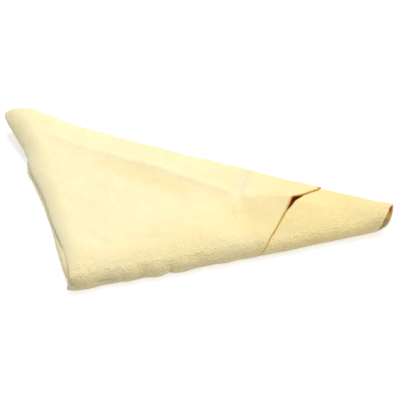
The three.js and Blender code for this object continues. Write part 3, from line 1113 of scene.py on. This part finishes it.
grown = add_node(fuzz, "FunctionNodeRandomValue", {2: SHORTEST, "Seed": given["Seed"]}, data_type="FLOAT")
share = [output for output in grown if output.enabled][0]
size = combine(fuzz, "MULTIPLY", share, given["Fibre Length"])
copies = {"Points": spaced["Curve"], "Instance": tube["Mesh"], "Scale": size}
copies["Rotation"] = turned["Rotation"]
standing = add_node(fuzz, "GeometryNodeInstanceOnPoints", copies)
real = add_node(fuzz, "GeometryNodeRealizeInstances", {"Geometry": standing["Instances"]})
dress = {"Geometry": real["Geometry"], "Material": given["Material"]}
dressed = add_node(fuzz, "GeometryNodeSetMaterial", dress)
add_node(fuzz, "NodeGroupOutput", {"Geometry": dressed["Geometry"]})
print("fuzz tree:", len(fuzz.nodes), "nodes")

# %% [markdown]
# ## Growing the fuzz
# A modifier runs the tree on each line. The result is kept as a plain mesh and the modifier is removed.

# %% Grow the fuzz
FLAP_SEED, MOUTH_SEED = 4, 9


def grow(obj, seed):
    modifier = obj.modifiers.new("fuzz", "NODES")
    modifier.node_group = fuzz
    for socket in fuzz.interface.items_tree:
        if socket.in_out == "INPUT" and socket.name == "Seed":
            modifier[socket.identifier] = seed
    made = bpy.data.meshes.new_from_object(obj.evaluated_get(bpy.context.evaluated_depsgraph_get()))
    obj.modifiers.clear()
    obj.data = made
    print(obj.name, len(made.polygons), "faces")
    return obj


flap_fuzz = grow(flap_line, FLAP_SEED)
roll_fuzz = grow(mouth_line, MOUTH_SEED)

# %% [markdown]
# ## Joining the roll to the frame
# The roll and its fuzz are attached to the roll's body and lie still. The flap and its fuzz keep their
# place, with their transform applied, and the frame's solids are hidden.

# %% Join to the bodies
for piece in (flap, flap_fuzz):
    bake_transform(piece)
for piece in (roll, roll_fuzz):
    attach(piece, "roll")
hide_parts("hinge_fold", "flap_panel", "flap_lip")
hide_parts("under_panel", "far_fold", "cone_front", "cone_near_fold", "cone_under")

# %% [markdown]
# ## Flat sizes
# A soft piece also has a size before it was folded. The border of the flat skin gives the area, and the
# size is the smallest rectangle round it, tried at every degree.


# %% Flat sizes
def flat_size(flat):
    """Sides of that rectangle, and the area."""
    corners = flat[rim_loop(*flat.shape[:2])]
    x, y = corners.T
    area = abs(np.dot(x, np.roll(y, -1)) - np.dot(y, np.roll(x, -1))) / 2
    spans = [np.ptp(corners @ np.stack([ray(a), sideways(a)]).T, axis=0) for a in np.radians(range(90))]
    return sorted(min(spans, key=np.prod).tolist()), float(area)


for piece, grid_flat, fluff in ((flap, flap_flat, flap_fuzz), (roll, roll_flat, roll_fuzz)):
    spans, area = flat_size(grid_flat)
    print(piece.name, "flat", [round(x, 3) for x in spans], "m,", round(area, 4), "square metres")

# %% [markdown]
# ## The floor
# To the camera, and in what glossy or clear things show of it, the floor glows and reads white. To the
# leather it is plain paper, and it still takes the soft shadow.

# %% Floor
FLOOR_SIZE, FLOOR_Z = 6, -0.4 * MM
FLOOR_GLOW, PAPER = 0.6, (0.88, 0.88, 0.88, 1)
bpy.ops.mesh.primitive_plane_add(size=FLOOR_SIZE, location=(0, 0, FLOOR_Z))
floor = bpy.context.object
floor.name = "floor"
paper = bpy.data.materials.new("white_paper")
paper.use_nodes = True
tree = paper.node_tree
sheet = tree.nodes["Principled BSDF"].inputs
set_inputs(sheet, {"Base Color": PAPER, "Roughness": 1.0, "Specular IOR Level": 0.0})
set_inputs(sheet, {"Emission Color": WHITE})
path = add_node(tree, "ShaderNodeLightPath")
seen = path["Is Camera Ray"]
for kind in ("Is Glossy Ray", "Is Transmission Ray"):
    seen = combine(tree, "MAXIMUM", seen, path[kind])
tree.links.new(combine(tree, "MULTIPLY", seen, FLOOR_GLOW), sheet["Emission Strength"])
floor.data.materials.append(paper)
print("floor at", mm(FLOOR_Z), "mm")

# %% [markdown]
# ## Light
# One large soft light hangs above and a little behind, and a weak one stands at the front on the right. The
# world fills from all sides.

# %% Light
WORLD_LEVEL = 0.34
LAMP_SIZE, KEY_POWER, FILL_POWER = 1.0, 25, 4.3
world = bpy.data.worlds.new("studio")
bpy.context.scene.world = world
world.use_nodes = True
set_inputs(world.node_tree.nodes["Background"].inputs, {"Color": WHITE, "Strength": WORLD_LEVEL})


def soft_box(name, place, power):
    """A square lamp that looks at the middle of the floor."""
    lamp = bpy.data.lights.new(name, "AREA")
    lamp.shape, lamp.size, lamp.energy = "SQUARE", LAMP_SIZE, power
    obj = put(name, lamp)
    obj.location = place
    obj.rotation_euler = Vector(place).to_track_quat("Z", "Y").to_euler()
    return obj


key = soft_box("overhead_soft_box", (0.1, 0.6, 1.55), KEY_POWER)
fill = soft_box("front_soft_box", (1.3, -1.0, 1.0), FILL_POWER)
print("lamps:", key.data.energy, "and", round(fill.data.energy, 1), "watts")

# %% [markdown]
# ## Camera
# The photograph looks down on the roll with hardly any perspective, so the camera stands far away with a
# long lens.

# %% Camera
LENS, DISTANCE = 200, 2.0
target = Vector((8.09, 3.75, 12.02)) * MM
turn, rise = math.radians(2.65), math.radians(40)
away = Vector((math.sin(turn) * math.cos(rise), -math.cos(turn) * math.cos(rise), math.sin(rise)))
camera = put("camera", bpy.data.cameras.new("camera"))
camera.data.lens = LENS
camera.location = target + DISTANCE * away
camera.rotation_euler = away.to_track_quat("Z", "Y").to_euler()
bpy.context.scene.camera = camera
bpy.context.scene.view_settings.view_transform = "Standard"
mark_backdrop(floor, key, fill, camera)
print("camera looks down by", round(math.degrees(rise)), "degrees")

# %% [markdown]
# ## Sizes
# Last, the size of the visual model is printed.

# %% Sizes and finish
low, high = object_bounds()
print("visual:", mm(np.subtract(high, low)), "mm")
